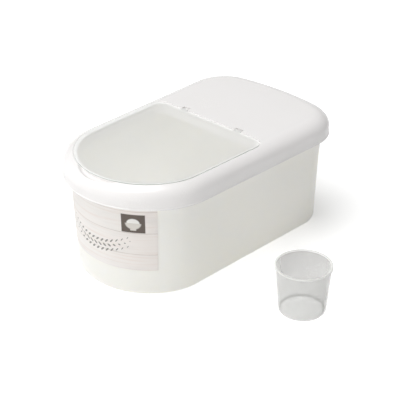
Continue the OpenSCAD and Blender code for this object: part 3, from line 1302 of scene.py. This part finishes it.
@dataclass
class Lid:
    """The lid: rolled edge with its bead, deck, opening with its collar, notch and pockets.

    The strip is the part of the top next to the recess that belongs to the rings of the opening.
    The gaps keep the points of the deck clear of the opening, and the cuts of the pockets clear
    of the recess's back and of its ledge.
    """

    outline: BinOutline
    top: float
    skirt_z: float
    wall: float = 2 * MM
    roll_width: float = 22.7 * MM
    roll_height: float = 18.25 * MM
    bead: float = 0.6 * MM
    bead_height: float = 1.4 * MM
    seat_z: float = 149 * MM
    rib_inset: float = 7.45 * MM
    rib_width: float = 1.5 * MM
    recess: DForm = RECESS
    opening: DForm = OPENING
    ledge_z: float = 159.2 * MM
    collar_depth: float = 17.3 * MM
    notch_floor_r: float = 39 * MM
    notch_inset: float = 11.5 * MM
    notch_depth: float = 7 * MM
    notch_lip: float = 1.5 * MM
    crease: float = 1.1 * MM
    edge: float = 0.5 * MM
    rib_edge: float = 0.3 * MM
    collar_edge: float = 0.7 * MM
    strip: float = 0.8 * MM
    small_edge: float = 0.1 * MM
    rib_drop: float = 0.1 * MM
    edge_turns: tuple[int, ...] = (30, 60, 90)
    roll_steps: int = 40
    arch_steps: int = 10
    shank_steps: int = 6
    shelf_steps: int = 5
    inner_steps: int = 8
    ledge_steps: int = 6
    lip_step: float = 0.004
    collar_foot: float = 2 * MM
    deck_rows: int = 6
    deck_reach: float = 0.5 * MM
    side_gap: float = 0.8 * MM
    back_gap: float = 1 * MM
    pocket_x: float = HINGE_X
    pocket_half: float = 6.1 * MM
    pocket_front: float = 34.5 * MM
    pocket_back: float = 42.5 * MM
    pocket_floor: float = 155.4 * MM
    hinge: Point = HINGE
    pocket_start: float = 0.2 * MM
    pocket_edge: float = 0.6 * MM
    hollow_edge: float = 0.8 * MM
    recess_gap: float = 0.05 * MM
    ledge_gap: float = 0.02 * MM
    socket_r: float = 1.4 * MM
    socket_reach: float = 1 * MM
    steps: Steps = Steps(nose=84, shoulder=18, side_front=14, side_back=16, corner=30, back=24)

    def roll(self, a: float, inward: float = 0.0) -> Point:
        """A point of the rolled edge's quarter ellipse, or of its inner face.

        Args:
            a: Angle on the ellipse, from 0 at the edge to a quarter turn at the top.
            inward: How far the face lies inside the outer one.

        Returns:
            The point, as (inset, height).
        """
        reach = self.roll_width - self.bead - inward
        return (self.roll_width - reach * math.cos(a),
                self.top - self.roll_height + (self.roll_height - inward) * math.sin(a))

    def roll_angle(self, inset: float, inward: float = 0.0) -> float:
        """Angle at which that ellipse stands at an inset."""
        share = (self.roll_width - inset) / (self.roll_width - self.bead - inward)
        return math.acos(max(-1.0, min(1.0, share)))

    def surface(self, inset: float, inward: float = 0.0) -> float:
        """Height of the lid's top, or of its inner face.

        Args:
            inset: How far the place lies inside the lid's edge.
            inward: How far the face lies inside the outer one.

        Returns:
            The height.
        """
        if inset >= self.roll_width:
            return self.top - inward
        return self.roll(self.roll_angle(inset, inward), inward)[1]

    def notch_z(self, x: float, y: float, inward: float) -> float:
        """Height of the finger notch's dish, or of the face below it.

        Args:
            x: Place across the bin.
            y: Place along the bin.
            inward: How far the face lies below the upper one.

        Returns:
            The height: level over the notch's floor, and rising at 45 degrees outside it.
        """
        middle = self.notch_inset + self.notch_floor_r - self.outline.length / 2
        out = math.hypot(x, y - middle) - self.notch_floor_r - inward * math.tan(QUARTER_TURN / 4)
        return self.top - self.notch_depth - inward - soft_min(0.0, -out, 2 * self.crease)

    def notched(self, ring: Sequence[Point], z: float | Height,
                inward: float | None) -> list[Vector]:
        """Lifts a ring of the plan, and lowers it where the notch passes below it.

        Args:
            ring: The ring.
            z: Its height, or a function that gives the height at each point.
            inward: How far its face lies below the upper one, or None where no notch is.

        Returns:
            The lifted points.
        """
        points = []
        for x, y in ring:
            height = z(x, y) if callable(z) else z
            if inward is not None:
                height = soft_min(height, self.notch_z(x, y, inward), self.crease)
            points.append(Vector((x, y, height)))
        return points

    def face(self, inward: float, drop: float = 0.0) -> Height:
        """The lid's top, or its inner face, over the whole plan.

        Args:
            inward: How far the face lies inside the outer one.
            drop: How far it is lowered.

        Returns:
            The function that gives the height at a point.
        """
        return lambda x, y: self.surface(self._inset(x, y), inward) - drop

    def edge_rings(self) -> list[list[Vector]]:
        """Rings round the lid's edge, from the top over the roll and back up inside the skirt.

        Returns:
            The rings.
        """
        start = self.recess.inset - self.edge - self.strip
        end = self.recess.inset - self.wall / 2
        sweep = self.roll_angle(start)
        outside = [self.roll(sweep * (1 - i / self.roll_steps)) for i in range(self.roll_steps + 1)]
        foot = rounded([
            (self.bead, self.top - self.roll_height, 0),
            (self.bead, self.skirt_z + self.bead_height + self.bead, self.edge),
            (0.0, self.skirt_z + self.bead_height, self.edge), (0.0, self.skirt_z, self.edge),
            (self.bead + self.wall, self.skirt_z, self.edge),
            (self.bead + self.wall, self.top - self.roll_height, 0)])
        in_angle = [self.roll_angle(s, self.wall) for s in
                    (self.rib_inset, self.rib_inset + self.rib_width, end)]
        inside = [self.roll(in_angle[0] * i / self.inner_steps, self.wall)
                  for i in range(1, self.inner_steps + 1)]
        rib_end = self.rib_inset + self.rib_width
        inside += rounded([
            (self.rib_inset, inside[-1][1] - self.rib_drop, 0),
            (self.rib_inset, self.seat_z, self.rib_edge), (rib_end, self.seat_z, self.rib_edge),
            (rib_end, self.roll(in_angle[1], self.wall)[1] - self.rib_drop, 0)], 2)
        inside += [self.roll(mix(in_angle[1], in_angle[2], i / self.arch_steps), self.wall)
                   for i in range(self.arch_steps + 1)]
        # The notch lowers the top and the face below it, and leaves the foot of the skirt as it is
        rings = []
        for line, inward in ((outside, 0.0), (foot[1:], None), (inside, self.wall)):
            for inset, z in line:
                rings.append(self.notched(self.outline.ring(inset, self.steps), z, inward))
        return rings

    def stations(self) -> list[Station]:
        """Stations of the opening: over the recess's edge, the ledge, the collar and back below.

        Returns:
            The stations.
        """
        line = [Station(self.recess.grown(self.edge + self.strip), self.face(0.0), 0.0),
                Station(self.recess.grown(self.edge), self.face(0.0), 0.0)]
        for turn in self.edge_turns:
            a = math.radians(turn)
            drop = self.edge * (1 - math.cos(a))
            line.append(Station(self.recess.grown(self.edge * (1 - math.sin(a))),
                                self.face(0.0, drop), 0.0))
        lip_share = ((self.opening.inset - self.notch_lip - self.recess.inset)
                     / (self.opening.inset - self.recess.inset))
        line += [Station(self.recess.towards(self.opening, lip_share * i / self.ledge_steps),
                         self.ledge_z, 0.0) for i in range(self.ledge_steps + 1)]
        line.append(Station(self.recess.towards(self.opening, lip_share + self.lip_step),
                            self.ledge_z))
        collar_z = self.top - self.collar_depth
        shank_z = collar_z + self.collar_foot
        down = rounded([
            (0.0, self.ledge_z, 0), (self.notch_lip, self.ledge_z, self.edge),
            (self.notch_lip, collar_z, self.collar_edge),
            (self.notch_lip - self.wall, collar_z, self.collar_edge),
            (self.notch_lip - self.wall, shank_z, 0)])
        line += [Station(self.opening.grown(self.notch_lip - s), z) for s, z in down[1:]]
        outer = self.opening.grown(self.wall)
        under = self.ledge_z - self.wall
        line += [Station(outer, mix(shank_z, under, i / self.shank_steps), self.wall)
                 for i in range(1, self.shank_steps + 1)]
        shelf = self.recess.grown(self.wall / 2)
        line += [Station(outer.towards(shelf, i / self.shelf_steps), under, self.wall)
                 for i in range(1, self.shelf_steps + 1)]
        line.append(Station(shelf, self.face(self.wall), self.wall))
        return line

    def _inset(self, x: float, y: float) -> float:
        """How far a point lies inside the lid's edge, at the front as well as behind.

        Args:
            x: Place of the point across the bin.
            y: Its place along the bin.

        Returns:
            Its distance from the edge.
        """
        nose_x, nose_y = self.outline.nose_c
        turn = math.atan2(y - nose_y, abs(x) - nose_x)
        if turn < self.outline.nose_end:
            return self.outline.nose_r - math.hypot(x - nose_x, y - nose_y)
        off = Vector((abs(x), y)) - Vector(self.outline.shoulder_c)
        if math.atan2(off.y, off.x) < -self.outline.side_lean:
            return self.outline.shoulder_r - off.length
        return self.outline.inset_of(x, y)

    def opening_rings(self) -> list[list[Vector]]:
        """The stations of the opening as rings of points."""
        return [self.notched(self.outline.d_ring(s.form, self.steps), s.z, s.notch)
                for s in self.stations()]

    def _behind(self, ring: list[Point]) -> list[Point]:
        """The part of a ring behind the stretch that the lid's edge and the opening share."""
        return ring[self.steps.shared:len(ring) - self.steps.shared + 1]

    def deck(self, skin: Skin, form: DForm, inward: float) -> None:
        """Fills the deck behind the opening, or its underside.

        Args:
            skin: The skin that it joins.
            form: The D that the deck ends at.
            inward: 0 for the top, or the wall for the underside.
        """
        d_line = self._behind(self.outline.d_ring(form, self.steps))
        lid_line = self._behind(self.outline.ring(form.inset, self.steps))
        reach = max(x for x, _ in self.outline.d_ring(form.grown(self.side_gap), self.steps))
        inner = []
        for row in range(1, self.deck_rows + 1):
            inset = mix(form.inset, self.roll_width + self.deck_reach, row / self.deck_rows)
            ring = self._behind(self.outline.ring(inset, self.steps))[1:-1]
            inner += [(x, y) for x, y in ring if y > form.back + self.back_gap
                      or self._outside_d(x, y, form, reach)]
        skin.patch(d_line + lid_line[-2:0:-1], inner, self.face(inward))

    def _outside_d(self, x: float, y: float, form: DForm, reach: float) -> bool:
        """Whether a point lies clear of a D's side and of its back corner.

        Args:
            x: Place of the point across the bin.
            y: Its place along the bin.
            form: The D.
            reach: How far from the middle plane a point is clear of the D's sides.

        Returns:
            Whether it is clear of both.
        """
        corner = self.outline.d_corner(form)
        off = (abs(x) - corner[0], y - corner[1])
        if off[1] < 0 or abs(x) > reach:
            return abs(x) > reach
        return off[0] > 0 and math.hypot(*off) > form.corner_r + self.back_gap

    def cut_pockets(self, piece: Piece) -> None:
        """Adds the two hinge pockets under the deck, with room for the flap, its lugs and pins.

        Args:
            piece: The lid.
        """
        half, out = self.pocket_half, self.pocket_half + self.wall
        above = self.top + self.wall
        for x in (-self.pocket_x, self.pocket_x):
            box = block("pocket", (x - out, self.opening.back + self.pocket_start,
                                   self.pocket_floor - self.wall),
                        (x + out, self.pocket_back + self.wall, self.top - self.wall / 2),
                        self.pocket_edge)
            work_in(piece, box, Cut.ADD)
            hollow = block("hollow", (x - half, self.pocket_front, self.pocket_floor),
                           (x + half, self.pocket_back, above), self.hollow_edge)
            work_in(piece, hollow, Cut.REMOVE)
            front = block("front", (x - out - self.edge, self.opening.back - self.edge,
                                    self.ledge_z + self.ledge_gap),
                          (x + out + self.edge, self.recess.back - self.recess_gap, above),
                          self.small_edge)
            work_in(piece, front, Cut.REMOVE)
            socket = rod("socket", Vector((x, *self.hinge)), self.socket_r,
                         2 * out + self.socket_reach, self.small_edge)
            work_in(piece, socket, Cut.REMOVE)

    def build(self) -> Piece:
        """Makes the lid.

        Returns:
            The lid.
        """
        skin = Skin()
        skin.loft(self.edge_rings())
        skin.loft(self.opening_rings())
        self.deck(skin, self.recess.grown(self.edge + self.strip), 0.0)
        self.deck(skin, self.recess.grown(self.wall / 2), self.wall)
        piece = skin.finish("lid")
        self.cut_pockets(piece)
        shade(piece)
        dress(piece, LID_PLASTIC.build(), "lid", "lid_frame")
        return piece


@dataclass
class Flap:
    """The clear flap with its rib, hinge lugs and pins."""

    outline: BinOutline
    top: float
    thickness: float = 1.7 * MM
    plate: DForm = DForm(0.016, 0.035, 0.017)
    opening: DForm = OPENING
    rib_gap: float = 2 * MM
    rib_width: float = 1.2 * MM
    rib_depth: float = 1.5 * MM
    support: float = 1.5 * MM
    edge: float = 0.5 * MM
    small_edge: float = 0.3 * MM
    lug_x: float = HINGE_X
    lug_width: float = 11 * MM
    lug_r: float = 2.4 * MM
    arm_reach: float = 4 * MM
    arm_edge: float = 0.4 * MM
    arm_gap: float = 0.02 * MM
    pin_r: float = 1.3 * MM
    pin_length: float = 16.2 * MM
    axis: Point = HINGE
    steps: Steps = Steps(nose=60, shoulder=14, side_front=10, corner=14, back=12)

    def rings(self) -> list[list[Vector]]:
        """Rings over the plate's edge, along its underside and round the rib.

        Returns:
            The rings.
        """
        low = self.top - self.thickness
        rim = rounded([(self.support, self.top, 0), (0.0, self.top, self.edge),
                       (0.0, low, self.small_edge), (self.support, low, 0)])
        line = [(self.plate.grown(-inset), z) for inset, z in rim]
        rib_z = low - self.rib_depth
        rib = rounded([(0.0, low, 0), (0.0, rib_z, self.small_edge),
                       (self.rib_width, rib_z, self.small_edge), (self.rib_width, low, 0)], 3)
        line += [(self.opening.grown(-self.rib_gap - inset), z) for inset, z in rib]
        line.append((self.opening.grown(-self.rib_gap - self.rib_width - self.support), low))
        return [lifted(self.outline.d_ring(form, self.steps), z) for form, z in line]

    def add_lugs(self, piece: Piece) -> None:
        """Adds the arms, barrels and pins of the hinge.

        Args:
            piece: The flap.
        """
        half = self.lug_width / 2
        low = self.top - self.thickness + self.arm_gap
        for x in (-self.lug_x, self.lug_x):
            middle = Vector((x, *self.axis))
            arm = block("arm", (x - half, self.plate.back - self.arm_reach, low),
                        (x + half, self.axis[0], self.top - self.arm_gap), self.arm_edge)
            work_in(piece, arm, Cut.ADD)
            for name, radius, length in (("barrel", self.lug_r, self.lug_width),
                                         ("pin", self.pin_r, self.pin_length)):
                work_in(piece, rod(name, middle, radius, length, self.small_edge), Cut.ADD)

    def build(self) -> Piece:
        """Makes the flap.

        Returns:
            The flap.
        """
        piece = closed_loft("flap", self.rings())
        self.add_lugs(piece)
        shade(piece)
        dress(piece, FLAP_PLASTIC.build(), "flap", "flip_flap")
        return piece


@dataclass
class Label:
    """The printed label, a thin sheet wrapped round the front of the tub."""

    tub: Tub
    top: float
    foot: float = 38.5 * MM
    width: float = 176 * MM
    glue: float = 0.1 * MM
    thickness: float = 0.3 * MM
    columns: int = 72
    rows: int = 6
    sharp: float = math.radians(60)

    def build(self) -> Piece:
        """Makes the label, with its print laid out in metres round and up the tub.

        Returns:
            The label.
        """
        outline = self.tub.outline
        mid_r = outline.nose_r - self.tub.wall_inset((self.foot + self.top) / 2)
        half = self.width / 2 / mid_r
        heights = [mix(self.foot, self.top, i / self.rows) for i in range(self.rows + 1)]
        line = ([(self.glue, z) for z in heights]
                + [(self.glue + self.thickness, z) for z in reversed(heights)])
        columns = []
        for i in range(self.columns + 1):
            a = -QUARTER_TURN + mix(-half, half, i / self.columns)
            column = []
            for out, z in line:
                r = outline.nose_r - self.tub.wall_inset(z) + out
                column.append(Vector((r * math.cos(a), outline.nose_c[1] + r * math.sin(a), z)))
            columns.append(column)
        piece = closed_loft("label", columns)
        layer = piece.data.uv_layers.new(name=PRINT_MAP)
        for loop in piece.data.loops:
            x, y, z = piece.data.vertices[loop.vertex_index].co
            turn = math.atan2(x, outline.nose_c[1] - y)
            layer.data[loop.index].uv = (turn * mid_r, z)
        shade(piece, self.sharp)
        dress(piece, PlankPrint().build(), "tub", "front_label")
        return piece


@dataclass
class Cup:
    """The tapered measuring cup with a thick band round its rim."""

    place: Vector
    height: float = 65.6 * MM
    rim_r: float = 36 * MM
    foot_r: float = 30 * MM
    wall: float = 1.5 * MM
    band_out: float = 1 * MM
    band_height: float = 3.2 * MM
    foot_edge: float = 6 * MM
    rim_edge: float = 0.7 * MM
    band_edge: float = 0.4 * MM
    band_corner: float = 0.3 * MM
    support: float = 2 * MM
    corner_steps: int = 8
    turns: int = 128

    def section(self) -> list[Point]:
        """The section from the middle of the underside, up outside and down inside.

        Returns:
            Its points, as (radius, height).
        """
        lean = (self.rim_r - self.band_out - self.foot_r) / self.height
        band_z = self.height - self.band_height
        inner_rim = self.rim_r - self.band_out - self.wall
        floor = self.wall
        return rounded([
            (self.support, 0.0, 0), (self.foot_r, 0.0, self.foot_edge),
            (self.foot_r + band_z * lean, band_z, self.band_corner),
            (self.rim_r, band_z, self.band_edge), (self.rim_r, self.height, self.rim_edge),
            (inner_rim, self.height, self.rim_edge),
            (self.foot_r - self.wall + floor * lean, floor, self.foot_edge - self.wall),
            (self.support, floor, 0)], self.corner_steps)

    def build(self) -> Piece:
        """Makes the cup.

        Returns:
            The cup.
        """
        angles = [i * math.tau / self.turns for i in range(self.turns)]
        rings = [[self.place + Vector((r * math.cos(a), r * math.sin(a), z)) for a in angles]
                 for r, z in self.section()]
        piece = closed_loft("cup", rings)
        shade(piece)
        # The cup's axis places the painted shade on its inner wall
        finish = replace(CUP_PLASTIC, axis=(self.place.x, self.place.y))
        dress(piece, finish.build(), "cup", "measuring_cup")
        return piece


# ---- Studio ----


@dataclass(frozen=True)
class Lamp:
    """A square studio light."""

    name: str
    place: Point
    height: float
    size: float
    power: float
    colour: tuple[float, float, float] = (1.0, 1.0, 1.0)
    mirrored: bool = False

    def build(self, target: Vector) -> None:
        """Hangs the lamp and points it at the target.

        Args:
            target: What it points at.
        """
        data = bpy.data.lights.new(self.name, "AREA")
        data.energy = self.power
        data.size = self.size
        data.color = self.colour
        lamp = bpy.data.objects.new(self.name, data)
        lamp.location = (*self.place, self.height)
        lamp.visible_glossy = self.mirrored
        lamp.rotation_euler = (target - lamp.location).to_track_quat("-Z", "Y").to_euler()
        bpy.context.scene.collection.objects.link(lamp)


@dataclass
class Studio:
    """A pale floor, soft light and the camera."""

    target: Vector = field(default_factory=lambda: Vector((0.0123, 0.0027, 0.0566)))
    azimuth: float = math.radians(43.46)
    elevation: float = math.radians(29.32)
    distance: float = 1.622
    lens: float = 107.97
    sensor: float = 36.0
    floor_reach: float = 6.0
    floor_colour: Colour = (0.93, 0.93, 0.93, 1)
    glow_reach: Point = (0.7, 2.2)
    glow_near: float = 0.3
    lamp_target: tuple[float, float, float] = (0.0, 0.0, 0.08)
    lamps: tuple[Lamp, ...] = (
        Lamp("key", (-0.6, -0.85), 3.4, 2.9, 122, mirrored=True),
        Lamp("front", (0.2, -2.3), 0.65, 0.9, 12.0),
        Lamp("side", (2.25, -0.3), 0.25, 0.9, 4),
    )
    gloss_share: float = 0.55
    horizon_strength: float = 0.42
    zenith_strength: float = 0.12
    zenith_from: float = 0.6

    def camera(self) -> None:
        """Makes the camera and points it at the target."""
        data = bpy.data.cameras.new("camera")
        data.lens = self.lens
        data.sensor_width = self.sensor
        camera = bpy.data.objects.new("camera", data)
        back = Vector((math.sin(self.azimuth) * math.cos(self.elevation),
                       -math.cos(self.azimuth) * math.cos(self.elevation),
                       math.sin(self.elevation)))
        camera.location = self.target + back * self.distance
        camera.rotation_euler = (-back).to_track_quat("-Z", "Y").to_euler()
        bpy.context.scene.collection.objects.link(camera)
        bpy.context.scene.camera = camera

    def seen(self, graph: Graph) -> Socket:
        """A value for what the camera sees: 1 straight or through clear plastic, less in gloss.

        Args:
            graph: The tree that it is used in.

        Returns:
            The value.
        """
        path = graph.add("LightPath")
        gloss = graph.math("MULTIPLY", path.outputs["Is Glossy Ray"], self.gloss_share)
        straight = graph.math("MAXIMUM", path.outputs["Is Camera Ray"], gloss)
        return graph.math("MAXIMUM", straight, path.outputs["Is Transmission Ray"])

    def world(self) -> None:
        """Lights the scene all round, and shows white behind it."""
        world = bpy.data.worlds.new("studio")
        bpy.context.scene.world = world
        world.use_nodes = True
        graph = Graph(world.node_tree)
        up = graph.xyz(graph.add("TexCoord").outputs["Generated"])[2]
        light = graph.spread(up, 0.0, self.zenith_from, self.horizon_strength,
                             self.zenith_strength)
        sky = graph.add("Background", Color=(1, 1, 1, 1))
        graph.join(graph.math("MAXIMUM", light, self.seen(graph)), sky.inputs["Strength"])
        graph.end(sky, "OutputWorld")

    def floor(self) -> None:
        """Lays the floor, which shows white and keeps the shadows."""
        skin = Skin()
        reach = self.floor_reach
        skin.cap([Vector(p) for p in ((-reach, -reach, 0), (reach, -reach, 0),
                                      (reach, reach, 0), (-reach, reach, 0))])
        floor = skin.finish("floor")
        material, graph = new_material("floor")
        shader = graph.add("BsdfPrincipled", Roughness=1.0, Base_Color=self.floor_colour,
                           Specular_IOR_Level=0.0, Emission_Color=(1, 1, 1, 1))
        away = graph.vector("LENGTH", graph.add("NewGeometry").outputs["Position"])
        glow = graph.spread(away.outputs["Value"], *self.glow_reach, self.glow_near, 1.0)
        graph.join(graph.math("MULTIPLY", self.seen(graph), glow),
                   shader.inputs["Emission Strength"])
        graph.end(shader)
        floor.data.materials.append(material)

    def build(self) -> None:
        """Sets the camera, the lamps, the world and the floor."""
        self.camera()
        for lamp in self.lamps:
            lamp.build(Vector(self.lamp_target))
        self.world()
        self.floor()
        bpy.context.scene.view_settings.view_transform = "Standard"


def main() -> None:
    """Builds the bin, its cup and the studio."""
    logging.basicConfig(level=logging.INFO, format="%(message)s")
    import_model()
    lid_low, lid_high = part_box("lid_frame")
    cup_low, cup_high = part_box("measuring_cup")
    tub_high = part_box("bin_body")[1]
    outline = BinOutline(length=lid_high.y - lid_low.y)
    tub = Tub(outline, tub_high.z)
    tub.build()
    Lid(outline, lid_high.z, lid_low.z).build()
    Flap(outline, lid_high.z).build()
    Label(tub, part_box("front_label")[1].z).build()
    middle = (cup_low + cup_high) / 2
    Cup(Vector((middle.x, middle.y, 0.0))).build()
    Studio().build()


if __name__ == "__main__":
    main()
